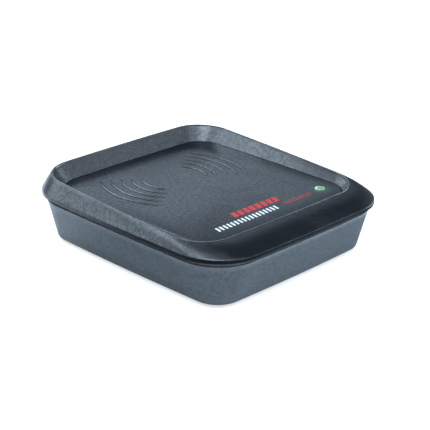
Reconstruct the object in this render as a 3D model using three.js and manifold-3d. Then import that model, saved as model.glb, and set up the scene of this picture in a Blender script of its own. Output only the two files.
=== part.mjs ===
// Desktop reader pad: a shallow tray in a two-part moulded case, with a coil under the tray floor,
// a circuit board, a status light, a data socket at the back, screws and rubber feet.
// Millimetres, +Z up. The front (the low lip of the tray) faces -Y.
// Origin: the middle of the plan, on the surface the feet stand on.
import * as THREE from 'three';
import { mergeVertices } from 'three/addons/utils/BufferGeometryUtils.js';
import Module from 'manifold-3d';

const wasm = await Module();
wasm.setup();

// ---------------------------------------------------------------- driving dimensions
const SPLIT_Z = 25.1;            // height of the parting plane between the two cases
const CASE_HALF_X = 66;          // top outline of the lower case
const CASE_HALF_Y = 72.6;
const CASE_CORNER = 23.4;
const SIDE_BOW = 1.05;           // how far the middle of each side bulges
const BASE_Z = 1.0;              // underside of the lower case, held up by the feet
const BASE_INSET = 7.0;          // draft of the lower walls, top to bottom
const BASE_CORNER = 13.5;
const WALL = 2.2;
const BASE_PLATE = 2.4;

const SKIRT_OVERHANG = 2.6;      // the upper case overhangs the lower case
const SKIRT_BOTTOM = SPLIT_Z + 2.9;
const SKIRT_TOP = SPLIT_Z + 4.9;
const RIM_BACK_Z = SPLIT_Z + 14.8;
const RIM_FRONT_Z = SPLIT_Z + 8.85;
const RIM_HALF_X = 64.55;
const RIM_BACK_Y = 68.1;
const RIM_FRONT_Y = -58.2;
const RIM_CORNER = 20.5;
const RIM_WIDTH = 0.9;           // flat-topped crest of the rim

const FLOOR_Z = SPLIT_Z + 6.4;   // top of the tray floor
const FLOOR_HALF_X = RIM_HALF_X - 7.8;
const FLOOR_BACK_Y = RIM_BACK_Y - 6.9;
const FLOOR_FRONT_Y = RIM_FRONT_Y + 2.6;
const FLOOR_CORNER = 13.1;
const PANEL_THICK = 2.0;
const PANEL_GAP = 0.3;           // play between the panel and the frame around it
const TAPE_THICK = 0.3;
const LEDGE_WIDTH = 2.6;
const LEDGE_THICK = 1.6;

const TONGUE_HEIGHT = 4.4;
const TONGUE_INSET = 1.2;
const TONGUE_THICK = 1.4;

const WAVE_CENTRE = [-1.7, 24.2]; // centre of the raised rings on the tray floor
const WAVE_RADII = [18.5, 24.2, 29.9, 35.7, 41.5];
const WAVE_HALF_ANGLE = THREE.MathUtils.degToRad(37);
const WAVE_WIDTH = 1.7;
const WAVE_HEIGHT = 0.45;

const LIGHT = [44.5, -43.0];     // status light, in the front right corner of the tray
const LIGHT_RADIUS = 2.5;

const CASE_SCREWS = [[50.5, 55], [-50.5, 55], [50.5, -49.6], [-50.5, -49.6]];
const BOARD_SCREWS = [[45, 40], [-45, 40], [45, -30], [-45, -30]];
const FEET = [[37.5, 52.5], [-37.5, 52.5], [37.5, -52.5], [-37.5, -52.5]];
const FOOT_RADIUS = 6;
const FOOT_RECESS = 0.8;
const BOSS_TOP = SPLIT_Z - 8;
const CLEAR = 0.3;

const BOARD_Z = 8.4;             // underside of the circuit board
const BOARD_THICK = 1.6;
const BOARD_TOP = BOARD_Z + BOARD_THICK;
const BOARD_HALF_X = 51;
const BOARD_FRONT_Y = -48;
const BOARD_BACK_Y = 62.5;

const SOCKET = { width: 7.7, height: 3.9, depth: 9.2, mouthY: 67.2 };
const LABEL = { halfX: 30, halfY: 16, recess: 0.35, thick: 0.2 };
const COIL_CENTRE = [0, 21];
const COIL_OUTER = 33;
const COIL_INNER = 23;
const COIL_TOP = FLOOR_Z - PANEL_THICK;

// ---------------------------------------------------------------- materials
const material = (colour, roughness, metalness = 0) =>
  new THREE.MeshStandardMaterial({ color: colour, roughness, metalness });
const M = {
  upperCase: material(0x33383d, 0.45),
  lowerCase: material(0x5b656e, 0.5),
  panel: material(0x4a5158, 0.6),
  tape: material(0xd8d4c4, 0.8),
  lens: material(0xbfe8c4, 0.2),
  ledChip: material(0xf2efe2, 0.4),
  former: material(0x1c1c1e, 0.6),
  copper: material(0xb4652c, 0.35, 0.9),
  ferrite: material(0x3a3a3c, 0.7),
  board: material(0x14532d, 0.5),
  chip: material(0x17181a, 0.5),
  metal: material(0xb9bdc0, 0.3, 1),
  tinned: material(0xc8cbcd, 0.25, 1),
  connector: material(0xe9e5d8, 0.5),
  screw: material(0x8f9396, 0.35, 1),
  rubber: material(0x1a1a1b, 0.9),
  label: material(0xc9ccd0, 0.5),
  capacitor: material(0xa9adb2, 0.3, 0.9),
  ceramic: material(0xb59a72, 0.6),
};

// ---------------------------------------------------------------- solids and booleans
function toSolid(geometry) {
  const bare = geometry.index ? geometry.toNonIndexed() : geometry.clone();
  bare.deleteAttribute('normal');
  bare.deleteAttribute('uv');
  const merged = mergeVertices(bare, 1e-4);
  return new wasm.Manifold(new wasm.Mesh({
    numProp: 3,
    vertProperties: new Float32Array(merged.attributes.position.array),
    triVerts: new Uint32Array(merged.index.array),
  }));
}

function toGeometry(solid) {
  const mesh = solid.getMesh();
  const geometry = new THREE.BufferGeometry();
  geometry.setAttribute('position', new THREE.BufferAttribute(mesh.vertProperties, 3));
  geometry.setIndex(new THREE.BufferAttribute(mesh.triVerts, 1));
  geometry.computeVertexNormals();
  return geometry;
}

const join = (first, ...rest) => rest.reduce((sum, next) => sum.add(next), first);
const cut = (first, ...rest) => rest.reduce((left, next) => left.subtract(next), first);

function box(x0, x1, y0, y1, z0, z1) {
  const geometry = new THREE.BoxGeometry(x1 - x0, y1 - y0, z1 - z0);
  geometry.translate((x0 + x1) / 2, (y0 + y1) / 2, (z0 + z1) / 2);
  return toSolid(geometry);
}

// A turned solid on a vertical axis; profile is [radius, z] pairs, up one side of the section.
function turned(profile, [x, y], segments = 12) {
  const geometry = new THREE.LatheGeometry(profile.map(([r, z]) => new THREE.Vector2(r, z)), segments);
  geometry.rotateX(Math.PI / 2);
  geometry.translate(x, y, 0);
  return toSolid(geometry);
}

const rod = (radius, z0, z1, at, segments = 12) =>
  turned([[0, z0], [radius, z0], [radius, z1], [0, z1]], at, segments);

// A plate with rounded corners, z0 to z1.
function roundedPlate(x0, x1, y0, y1, z0, z1, radius, bevel = 0) {
  const shape = new THREE.Shape();
  const r = Math.max(radius - bevel, 0.01);
  const [a, b, c, d] = [x0 + bevel, x1 - bevel, y0 + bevel, y1 - bevel];
  shape.moveTo(a + r, c);
  shape.lineTo(b - r, c);
  shape.absarc(b - r, c + r, r, -Math.PI / 2, 0, false);
  shape.lineTo(b, d - r);
  shape.absarc(b - r, d - r, r, 0, Math.PI / 2, false);
  shape.lineTo(a + r, d);
  shape.absarc(a + r, d - r, r, Math.PI / 2, Math.PI, false);
  shape.lineTo(a, c + r);
  shape.absarc(a + r, c + r, r, Math.PI, 1.5 * Math.PI, false);
  const geometry = new THREE.ExtrudeGeometry(shape, {
    depth: z1 - z0 - 2 * bevel, curveSegments: 3, bevelEnabled: bevel > 0,
    bevelThickness: bevel, bevelSize: bevel, bevelSegments: 1,
  });
  geometry.translate(0, 0, z0 + bevel);
  return toSolid(geometry);
}

// ---------------------------------------------------------------- lofted case shapes
const CORNER_STEPS = 6;
const SIDE_STEPS = 4;

// One closed outline, seen from above anticlockwise, with bowed sides and round corners.
// z may be a number or [front height, back height] for a tilted outline.
function outline({ halfX, front, back, corner, bow = SIDE_BOW, z }) {
  const middleY = (front + back) / 2;
  const halfY = (back - front) / 2;
  const points = [];
  const spanX = halfX - corner;
  const spanY = halfY - corner;
  const corners = [[1, -1], [1, 1], [-1, 1], [-1, -1]];
  corners.forEach(([sx, sy], i) => {
    const start = -Math.PI / 2 + (i * Math.PI) / 2;
    for (let k = 0; k <= CORNER_STEPS; k++) {
      const angle = start + (k / CORNER_STEPS) * (Math.PI / 2);
      points.push([sx * spanX + corner * Math.cos(angle), sy * spanY + corner * Math.sin(angle)]);
    }
    const [nx, ny] = corners[(i + 1) % 4];
    const end = start + Math.PI / 2;
    const from = [sx * spanX + corner * Math.cos(end), sy * spanY + corner * Math.sin(end)];
    const to = [nx * spanX + corner * Math.cos(end), ny * spanY + corner * Math.sin(end)];
    for (let k = 1; k < SIDE_STEPS; k++) {
      const t = k / SIDE_STEPS;
      points.push([from[0] + (to[0] - from[0]) * t, from[1] + (to[1] - from[1]) * t]);
    }
  });
  const [frontZ, backZ] = Array.isArray(z) ? z : [z, z];
  return points.map(([x, y]) => {
    const bulgeX = bow * Math.cos((Math.PI / 2) * Math.min(1, Math.abs(y) / halfY)) * (x / halfX);
    const bulgeY = bow * Math.cos((Math.PI / 2) * Math.min(1, Math.abs(x) / halfX)) * (y / halfY);
    const t = (y + halfY) / (2 * halfY);
    return [x + bulgeX, y + bulgeY + middleY, frontZ + (backZ - frontZ) * t];
  });
}

// Skins a stack of outlines. A looped stack closes on itself; any other stack is capped.
function skin(rings, looped) {
  const size = rings[0].length;
  const positions = rings.flat(2);
  const index = [];
  const at = (ring, i) => (ring % rings.length) * size + (i % size);
  const last = looped ? rings.length : rings.length - 1;
  for (let ring = 0; ring < last; ring++) {
    for (let i = 0; i < size; i++) {
      index.push(at(ring, i), at(ring, i + 1), at(ring + 1, i + 1));
      index.push(at(ring, i), at(ring + 1, i + 1), at(ring + 1, i));
    }
  }
  if (!looped) {
    for (const [ring, down] of [[0, true], [rings.length - 1, false]]) {
      const sum = rings[ring].reduce((s, p) => [s[0] + p[0], s[1] + p[1], s[2] + p[2]], [0, 0, 0]);
      positions.push(...sum.map((v) => v / size));
      const centre = positions.length / 3 - 1;
      for (let i = 0; i < size; i++) {
        const [a, b] = [at(ring, i), at(ring, i + 1)];
        index.push(...(down ? [centre, b, a] : [centre, a, b]));
      }
    }
  }
  const geometry = new THREE.BufferGeometry();
  geometry.setAttribute('position', new THREE.BufferAttribute(new Float32Array(positions), 3));
  geometry.setIndex(index);
  return toSolid(geometry);
}

// The lower case's own outline, grown or shrunk by an offset, part of the way up its drafted wall.
function lowerOutline(rise, offset, z) {
  const inset = BASE_INSET * (1 - rise);
  const corner = BASE_CORNER + (CASE_CORNER - BASE_CORNER) * rise;
  return outline({
    halfX: CASE_HALF_X - inset + offset, front: -(CASE_HALF_Y - inset + offset),
    back: CASE_HALF_Y - inset + offset, corner: Math.max(corner + offset, 2), z,
  });
}

function lowerCase() {
  const plateTop = BASE_Z + BASE_PLATE;
  const riseOf = (z) => (z - BASE_Z) / (SPLIT_Z - BASE_Z);
  const tongueTop = SPLIT_Z + TONGUE_HEIGHT;
  let solid = skin([
    lowerOutline(0, -2.6, BASE_Z),
    lowerOutline(0, -1.3, BASE_Z + 0.3),
    lowerOutline(riseOf(BASE_Z + 1.2), -0.3, BASE_Z + 1.2),
    lowerOutline(riseOf(BASE_Z + 2.4), 0, BASE_Z + 2.4),
    lowerOutline(1, 0, SPLIT_Z - 0.5),
    lowerOutline(1, -0.5, SPLIT_Z),
    lowerOutline(1, -TONGUE_INSET, SPLIT_Z),
    lowerOutline(1, -TONGUE_INSET, tongueTop),
    lowerOutline(1, -TONGUE_INSET - TONGUE_THICK, tongueTop),
    lowerOutline(1, -TONGUE_INSET - TONGUE_THICK, SPLIT_Z - 1.5),
    lowerOutline(riseOf(plateTop + 1), -WALL - 0.2, plateTop + 1),
    lowerOutline(riseOf(plateTop), -WALL - 1.2, plateTop),
  ], false);
  for (const at of CASE_SCREWS) solid = solid.add(rod(4, plateTop - 0.5, BOSS_TOP, at));
  for (const at of BOARD_SCREWS) solid = solid.add(rod(3.2, plateTop - 0.5, BOARD_Z, at));
  for (const at of CASE_SCREWS) {
    solid = cut(solid, rod(3.1, BASE_Z - 1, BOSS_TOP - 3, at), rod(1.7, BASE_Z, BOSS_TOP + 1, at, 12));
  }
  for (const at of BOARD_SCREWS) solid = solid.subtract(rod(1.3, plateTop - 0.6, BOARD_Z + 1, at, 12));
  for (const at of FEET) solid = solid.subtract(rod(FOOT_RADIUS + CLEAR, BASE_Z - 1, BASE_Z + FOOT_RECESS, at, 20));
  const middle = BOARD_TOP + SOCKET.height / 2;
  return cut(solid,
    roundedPlate(-LABEL.halfX - CLEAR, LABEL.halfX + CLEAR, -LABEL.halfY - CLEAR, LABEL.halfY + CLEAR,
      BASE_Z - 1, BASE_Z + LABEL.recess, 2.3),
    box(-5.3, 5.3, 60, 80, middle - 3.3, middle + 3.3));
}

function ratingLabel() {
  return roundedPlate(-LABEL.halfX, LABEL.halfX, -LABEL.halfY, LABEL.halfY,
    BASE_Z + LABEL.recess - LABEL.thick, BASE_Z + LABEL.recess, 2);
}

// An outline around the tray, between the floor edge (0) and the rim (1), with an outward offset.
function trayOutline(t, offset, z) {
  const mix = (a, b) => a + (b - a) * t;
  return outline({
    halfX: mix(FLOOR_HALF_X, RIM_HALF_X) + offset, front: mix(FLOOR_FRONT_Y, RIM_FRONT_Y) - offset,
    back: mix(FLOOR_BACK_Y, RIM_BACK_Y) + offset, corner: mix(FLOOR_CORNER, RIM_CORNER) + offset, z,
  });
}

// The outer slope, from the skirt's top edge (0) to the rim (1), raised to make it slightly convex.
function slopeOutline(t, bulge, z) {
  const mix = (a, b) => a + (b - a) * t;
  const skirtX = CASE_HALF_X + SKIRT_OVERHANG;
  const skirtY = CASE_HALF_Y + SKIRT_OVERHANG;
  const heights = z ?? [mix(SKIRT_TOP, RIM_FRONT_Z) + bulge, mix(SKIRT_TOP, RIM_BACK_Z) + bulge];
  return outline({
    halfX: mix(skirtX, RIM_HALF_X), front: mix(-skirtY, RIM_FRONT_Y), back: mix(skirtY, RIM_BACK_Y),
    corner: mix(CASE_CORNER + SKIRT_OVERHANG, RIM_CORNER), z: heights,
  });
}

function upperCase() {
  const rim = [RIM_FRONT_Z, RIM_BACK_Z];
  const shifted = (by) => rim.map((z) => z + by);
  const seatTop = FLOOR_Z - PANEL_THICK - TAPE_THICK;
  const seatUnder = seatTop - LEDGE_THICK;
  const tongueRoof = SPLIT_Z + TONGUE_HEIGHT + CLEAR;
  let solid = skin([
    slopeOutline(0, 0, SKIRT_BOTTOM),
    slopeOutline(0, 0, SKIRT_TOP - 0.5),
    slopeOutline(0.04, 0.3),
    slopeOutline(0.35, 0.65),
    slopeOutline(0.7, 0.55),
    slopeOutline(0.97, -0.1),
    trayOutline(1, -0.3, shifted(0.15)),
    trayOutline(1, -RIM_WIDTH, shifted(0)),
    trayOutline(0, 0, FLOOR_Z),
    trayOutline(0, 0, seatTop),
    trayOutline(0, -LEDGE_WIDTH, seatTop),
    trayOutline(0, -LEDGE_WIDTH, seatUnder),
    trayOutline(0, 1.2, seatUnder),
    trayOutline(0.78, 0, [RIM_FRONT_Z - 2.9, RIM_BACK_Z - 3.6]),
    lowerOutline(1, -4, tongueRoof),
    lowerOutline(1, SKIRT_OVERHANG - WALL, tongueRoof),
    lowerOutline(1, SKIRT_OVERHANG - WALL, SKIRT_BOTTOM),
  ], true);
  for (const at of CASE_SCREWS) {
    solid = solid.add(rod(3.5, BOSS_TOP + CLEAR, seatTop - 0.6, at));
    solid = solid.subtract(rod(1.6, BOSS_TOP, seatUnder - 1, at, 12));
  }
  return solid;
}

// One raised arc of the wave mark: a low half-round bead with tapered ends.
function waveArc(radius, facing) {
  const steps = 10;
  const sides = 5;
  const rings = [];
  for (let i = 0; i <= steps; i++) {
    const t = i / steps;
    const angle = facing + WAVE_HALF_ANGLE * (2 * t - 1);
    const taper = 0.25 + 0.75 * Math.min(1, 5 * Math.min(t, 1 - t));
    const ring = [];
    for (let k = 0; k < sides; k++) {
      const turn = (k / (sides - 1)) * Math.PI;
      const across = (WAVE_WIDTH / 2) * taper * Math.cos(turn);
      const up = k === 0 || k === sides - 1 ? -0.3 : WAVE_HEIGHT * taper * Math.sin(turn);
      const r = radius + across;
      ring.push([WAVE_CENTRE[0] + r * Math.cos(angle), WAVE_CENTRE[1] + r * Math.sin(angle), FLOOR_Z + up]);
    }
    rings.push(ring.reverse());
  }
  return skin(rings, false);
}

function trayPanel() {
  let solid = skin([
    trayOutline(0, -PANEL_GAP, FLOOR_Z - PANEL_THICK),
    trayOutline(0, -PANEL_GAP, FLOOR_Z - 0.4),
    trayOutline(0, -PANEL_GAP - 0.4, FLOOR_Z),
  ], false);
  for (const radius of WAVE_RADII) {
    for (const facing of [0, Math.PI]) solid = solid.add(waveArc(radius, facing));
  }
  return solid.subtract(rod(LIGHT_RADIUS + CLEAR, FLOOR_Z - 4, FLOOR_Z + 2, LIGHT, 20));
}

function panelTape() {
  const [low, high] = [FLOOR_Z - PANEL_THICK - TAPE_THICK, FLOOR_Z - PANEL_THICK];
  return skin([
    trayOutline(0, -0.6, low),
    trayOutline(0, -0.6, high),
    trayOutline(0, -2.4, high),
    trayOutline(0, -2.4, low),
  ], true);
}

// A clear stem that carries the light up from the board, with a domed head in the tray floor.
function lightPipe() {
  const under = FLOOR_Z - PANEL_THICK;
  const r = LIGHT_RADIUS;
  return turned([
    [0, BOARD_TOP + 1.6], [1.8, BOARD_TOP + 1.6], [2.2, under - 1.4], [3.7, under - 1.4], [3.7, under],
    [r, under], [r, FLOOR_Z + 0.3], [r * 0.88, FLOOR_Z + 0.75], [r * 0.6, FLOOR_Z + 1.15],
    [r * 0.3, FLOOR_Z + 1.32], [0, FLOOR_Z + 1.38],
  ], LIGHT, 20);
}

// ---------------------------------------------------------------- coil under the tray
function coilFormer() {
  const [low, high] = [COIL_TOP - 3.6, COIL_TOP - 0.3];
  return turned([
    [COIL_INNER - 1.2, low], [COIL_OUTER + 1.2, low], [COIL_OUTER + 1.2, low + 0.8], [COIL_INNER + 1, low + 0.8],
    [COIL_INNER + 1, high - 0.8], [COIL_OUTER + 1.2, high - 0.8], [COIL_OUTER + 1.2, high],
    [COIL_INNER - 1.2, high], [COIL_INNER - 1.2, low],
  ], COIL_CENTRE, 28);
}

function coilWinding() {
  const [low, high] = [COIL_TOP - 2.7, COIL_TOP - 1.2];
  return turned([
    [COIL_INNER + 1.3, low], [COIL_OUTER - 0.3, low], [COIL_OUTER, low + 0.4], [COIL_OUTER, high - 0.4],
    [COIL_OUTER - 0.3, high], [COIL_INNER + 1.3, high], [COIL_INNER + 1.3, low],
  ], COIL_CENTRE, 28);
}

function ring(inner, outer, z0, z1, at) {
  return turned([[inner, z0], [outer, z0], [outer, z1], [inner, z1], [inner, z0]], at, 28);
}

const coilTape = () => ring(COIL_INNER, COIL_OUTER, COIL_TOP - 0.3, COIL_TOP, COIL_CENTRE);
const ferritePlate = () => rod(COIL_OUTER - 2, COIL_TOP - 4.8, COIL_TOP - 3.6, COIL_CENTRE, 28);

// A thin wire as an extruded octagon along a smooth path.
function wire(points, radius, steps, sides = 6) {
  const path = new THREE.CatmullRomCurve3(points.map((p) => new THREE.Vector3(...p)));
  const section = new THREE.Shape();
  for (let i = 0; i < sides; i++) {
    const angle = (2 * Math.PI * i) / sides;
    const [x, y] = [radius * Math.cos(angle), radius * Math.sin(angle)];
    if (i === 0) section.moveTo(x, y);
    else section.lineTo(x, y);
  }
  section.closePath();
  return toSolid(new THREE.ExtrudeGeometry(section, { steps, extrudePath: path, bevelEnabled: false }));
}

const CONNECTOR = { x: 20, y: -22 };

// Two leads run from the coil's front edge down to the plug on the board.
function coilLead(side) {
  const x = CONNECTOR.x + side * 1;
  const startZ = COIL_TOP - 3.9;
  return wire([
    [8 + side * 1.6, COIL_CENTRE[1] - COIL_OUTER - 1.9, startZ + 2.4],
    [9 + side * 1.5, COIL_CENTRE[1] - COIL_OUTER - 5, startZ - 0.6],
    [13 + side * 1.3, -18, startZ - 5],
    [x - 1.5, -20.5, BOARD_TOP + 9.5],
    [x, CONNECTOR.y, BOARD_TOP + 6.2],
  ], 0.45, 18);
}

function coilConnector() {
  const { x, y } = CONNECTOR;
  return cut(roundedPlate(x - 3, x + 3, y - 2.2, y + 2.2, BOARD_TOP, BOARD_TOP + 5.8, 0.4),
    box(x - 1.8, x - 0.2, y - 0.9, y + 0.9, BOARD_TOP + 4.6, BOARD_TOP + 7),
    box(x + 0.2, x + 1.8, y - 0.9, y + 0.9, BOARD_TOP + 4.6, BOARD_TOP + 7));
}

// ---------------------------------------------------------------- circuit board
function mainBoard() {
  let solid = roundedPlate(-BOARD_HALF_X, BOARD_HALF_X, BOARD_FRONT_Y, BOARD_BACK_Y, BOARD_Z, BOARD_TOP, 3);
  for (const at of CASE_SCREWS) solid = solid.subtract(rod(5, BOARD_Z - 1, BOARD_TOP + 1, at, 20));
  for (const [sx, sy] of [[1, 1], [-1, 1]]) {
    solid = solid.subtract(box(Math.min(sx * 46, sx * 60), Math.max(sx * 46, sx * 60),
      sy * 54, sy * 70, BOARD_Z - 1, BOARD_TOP + 1));
  }
  for (const at of BOARD_SCREWS) solid = solid.subtract(rod(1.6, BOARD_Z - 1, BOARD_TOP + 1, at, 12));
  return solid;
}

// A mini data socket: a metal shell open at the back of the case, with its contact tongue inside.
function usbSocket() {
  const { width, height, depth, mouthY } = SOCKET;
  const wall = 0.4;
  const z0 = BOARD_TOP;
  const shell = box(-width / 2, width / 2, mouthY - depth, mouthY, z0, z0 + height);
  const cavity = box(-width / 2 + wall, width / 2 - wall, mouthY - depth + 1.5, mouthY + 1,
    z0 + wall, z0 + height - wall);
  const tongue = box(-2.3, 2.3, mouthY - depth + 1, mouthY - 1.6, z0 + 2.2, z0 + 3.0);
  return join(shell.subtract(cavity), tongue);
}

// A flat pack with a row of flat legs on two or four sides.
function chip([x, y], sizeX, sizeY, height, legs, sides) {
  let solid = roundedPlate(x - sizeX / 2, x + sizeX / 2, y - sizeY / 2, y + sizeY / 2,
    BOARD_TOP + 0.1, BOARD_TOP + height, 0.3, 0.1);
  const [bury, reach, legTop] = [0.4, 1.0, BOARD_TOP + 0.4];
  for (let i = 0; i < legs; i++) {
    const along = ((i + 0.5) / legs - 0.5) * 0.9;
    const halfX = (0.22 / legs) * sizeX;
    const halfY = (0.22 / legs) * sizeY;
    for (const side of [-1, 1]) {
      const ends = [side * (sizeX / 2 - bury), side * (sizeX / 2 + reach)].sort((a, b) => a - b);
      const yy = y + along * sizeY;
      solid = solid.add(box(x + ends[0], x + ends[1], yy - halfY, yy + halfY, BOARD_TOP, legTop));
      if (sides === 4) {
        const endsY = [side * (sizeY / 2 - bury), side * (sizeY / 2 + reach)].sort((a, b) => a - b);
        const xx = x + along * sizeX;
        solid = solid.add(box(xx - halfX, xx + halfX, y + endsY[0], y + endsY[1], BOARD_TOP, legTop));
      }
    }
  }
  return solid;
}

const block = ([x, y], sizeX, sizeY, height, radius = 0.2, bevel = 0) =>
  roundedPlate(x - sizeX / 2, x + sizeX / 2, y - sizeY / 2, y + sizeY / 2,
    BOARD_TOP, BOARD_TOP + height, radius, bevel);

const RADIO = [-26, 2];

function radioShield() {
  const [x, y] = RADIO;
  const outer = block(RADIO, 24, 18, 3.2, 0.8, 0.3);
  return outer.subtract(box(x - 11.6, x + 11.6, y - 8.6, y + 8.6, BOARD_TOP - 1, BOARD_TOP + 2.8));
}

function radioAntenna() {
  const turns = 6;
  const points = [];
  const axisY = -22;
  const axisZ = BOARD_TOP + 3.4;
  points.push([-40, axisY - 2.4, BOARD_TOP + 0.5], [-40, axisY - 2.5, BOARD_TOP + 1.8]);
  for (let i = 0; i <= turns * 8; i++) {
    const angle = Math.PI + (i / 8) * 2 * Math.PI;
    points.push([-39.4 + (i / 8) * 2.1, axisY + 2.5 * Math.cos(angle), axisZ + 2.5 * Math.sin(angle)]);
  }
  return wire(points, 0.4, 56, 5);
}

function electrolytic(at, radius, height) {
  const z = BOARD_TOP;
  return turned([[0, z], [radius, z], [radius, z + height * 0.18], [radius * 0.92, z + height * 0.22],
    [radius, z + height * 0.26], [radius, z + height - 0.3], [radius - 0.3, z + height], [0, z + height]], at, 16);
}

function regulator([x, y]) {
  return join(block([x, y], 6.5, 3.5, 1.6, 0.2, 0.1),
    box(x - 1.5, x + 1.5, y + 1.2, y + 3.4, BOARD_TOP, BOARD_TOP + 0.35),
    ...[-2.3, 0, 2.3].map((dx) => box(x + dx - 0.35, x + dx + 0.35, y - 3.4, y - 1.2, BOARD_TOP, BOARD_TOP + 0.35)));
}

function statusLed() {
  const [x, y] = LIGHT;
  return join(block(LIGHT, 3.2, 2.8, 0.8, 0.2), rod(1.2, BOARD_TOP + 0.5, BOARD_TOP + 1.2, [x, y], 16));
}

// ---------------------------------------------------------------- screws and feet
// A pan-head screw standing on its point or hanging by its head; head and shank are turned in one.
function caseScrew(at) {
  const headTop = BOSS_TOP - 3;
  const head = turned([[0, headTop - 2], [2.2, headTop - 2], [2.7, headTop - 1.3], [2.7, headTop],
    [1.3, headTop], [1.3, headTop + 11], [0.2, headTop + 12], [0, headTop + 12]], at);
  const [x, y] = at;
  return cut(head, box(x - 1.5, x + 1.5, y - 0.3, y + 0.3, headTop - 3, headTop - 1),
    box(x - 0.3, x + 0.3, y - 1.5, y + 1.5, headTop - 3, headTop - 1));
}

function boardScrew(at) {
  const z = BOARD_TOP;
  const head = turned([[0, z - 6], [0.4, z - 6], [1.0, z - 5.2], [1.0, z], [2.6, z], [2.6, z + 1.1],
    [2.0, z + 1.7], [0, z + 1.7]], at);
  const [x, y] = at;
  return cut(head, box(x - 1.4, x + 1.4, y - 0.25, y + 0.25, z + 0.9, z + 3),
    box(x - 0.25, x + 0.25, y - 1.4, y + 1.4, z + 0.9, z + 3));
}

function foot(at) {
  const top = BASE_Z + FOOT_RECESS;
  return turned([[0, 0], [FOOT_RADIUS - 0.8, 0], [FOOT_RADIUS - 0.2, 0.35], [FOOT_RADIUS, 0.9],
    [FOOT_RADIUS, top], [0, top]], at, 20);
}

// ---------------------------------------------------------------- assembly
const reader_pad = new THREE.Group();
function place(name, solid, look) {
  const mesh = new THREE.Mesh(toGeometry(solid), look);
  mesh.name = name;
  reader_pad.add(mesh);
}

place('lower_case', lowerCase(), M.lowerCase);
place('upper_case', upperCase(), M.upperCase);
place('tray_panel', trayPanel(), M.panel);
place('panel_tape', panelTape(), M.tape);
place('light_pipe', lightPipe(), M.lens);
place('status_led', statusLed(), M.ledChip);
place('coil_former', coilFormer(), M.former);
place('coil_winding', coilWinding(), M.copper);
place('coil_tape', coilTape(), M.tape);
place('ferrite_plate', ferritePlate(), M.ferrite);
place('coil_lead_a', coilLead(-1), M.copper);
place('coil_lead_b', coilLead(1), M.copper);
place('coil_connector', coilConnector(), M.connector);
place('main_board', mainBoard(), M.board);
place('usb_socket', usbSocket(), M.metal);
place('controller_chip', chip([-6, -18], 10, 10, 1.5, 5, 4), M.chip);
place('coil_driver', chip([24, -4], 5, 5, 1.6, 2, 2), M.chip);
place('radio_chip', block(RADIO, 4, 4, 1.1, 0.2, 0.1), M.chip);
place('radio_crystal', block([RADIO[0] + 7, RADIO[1]], 3.2, 2.5, 0.9, 0.3), M.metal);
place('radio_shield', radioShield(), M.tinned);
place('radio_antenna', radioAntenna(), M.copper);
place('clock_crystal', block([-8, -32], 11, 4.6, 3.4, 2.2, 0.3), M.metal);
place('voltage_regulator', regulator([18, 44]), M.chip);
place('power_inductor', block([30, 30], 7, 7, 4, 1.2, 0.4), M.ferrite);
place('input_capacitor', electrolytic([-16, 48], 3.2, 5.8), M.capacitor);
place('supply_capacitor', electrolytic([30, 18], 4, 7.5), M.capacitor);
place('tuning_capacitor', block([36, -14], 10.5, 5, 7.5, 0.6, 0.3), M.connector);
place('esd_protector', chip([8, 52], 2.8, 1.6, 1.1, 2, 2), M.chip);
[[-6, -8], [6, -18], [10, 44], [22, 30]].forEach((at, i) =>
  place(`ceramic_capacitor_${i + 1}`, block(at, 2, 1.25, 0.9, 0.1), M.ceramic));
CASE_SCREWS.forEach((at, i) => place(`case_screw_${i + 1}`, caseScrew(at), M.screw));
BOARD_SCREWS.forEach((at, i) => place(`board_screw_${i + 1}`, boardScrew(at), M.screw));
FEET.forEach((at, i) => place(`foot_${i + 1}`, foot(at), M.rubber));
place('rating_label', ratingLabel(), M.label);

export default reader_pad;
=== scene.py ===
import bpy, math
from mathutils import Matrix, Vector


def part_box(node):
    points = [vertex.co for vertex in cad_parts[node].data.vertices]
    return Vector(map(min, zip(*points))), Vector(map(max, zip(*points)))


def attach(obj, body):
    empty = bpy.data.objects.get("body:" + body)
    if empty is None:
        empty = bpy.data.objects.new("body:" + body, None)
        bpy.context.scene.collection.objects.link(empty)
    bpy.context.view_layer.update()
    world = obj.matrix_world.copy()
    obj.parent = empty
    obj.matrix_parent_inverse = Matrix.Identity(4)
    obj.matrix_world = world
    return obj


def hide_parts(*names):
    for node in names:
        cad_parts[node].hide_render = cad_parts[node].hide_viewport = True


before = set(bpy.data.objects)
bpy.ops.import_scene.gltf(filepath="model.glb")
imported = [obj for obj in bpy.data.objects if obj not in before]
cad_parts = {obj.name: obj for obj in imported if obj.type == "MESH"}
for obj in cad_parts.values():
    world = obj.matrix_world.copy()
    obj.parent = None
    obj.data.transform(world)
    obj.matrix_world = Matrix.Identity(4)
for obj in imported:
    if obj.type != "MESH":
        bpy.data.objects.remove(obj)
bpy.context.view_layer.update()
scene = bpy.context.scene
MM = 0.001

# ----------------------------------------
# Camera, light and table. The pad stands on a white table among nine cool white panels: broad
# ones hang behind and overhead, and smaller ones light its sides, its front and its near corner.
VIEW_AZIMUTH = math.radians(-45.86)
VIEW_ELEVATION = math.radians(22.03)
VIEW_ROLL = math.radians(0.95)
VIEW_DISTANCE = 0.6947
VIEW_LENS = 105.6
VIEW_SENSOR = 36
VIEW_SHIFT = (0.0182, -0.0367)
COOL_WHITE = (0.82, 1.0, 1.17)
PAD_MIDDLE = (0, 0, 0.02)
DARK_WALL = (0.05, 0.057, 0.068)
PLAIN_WALL = (0.58, 0.62, 0.68)
WALL_FOOT = 0.04
WALL_TOP = 0.58
WALL_BANDS = ((0.14, 0.9), (0.34, 0.56), (0.42, 1.3))
WALL_DIM = 0.12
BRIGHT_SIDE = (-0.45, 0.89, 0)
TABLE_HALF = (3.0, 3.0)
TABLE_OPENING_HALF = (0.053, 0.059)
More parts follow.
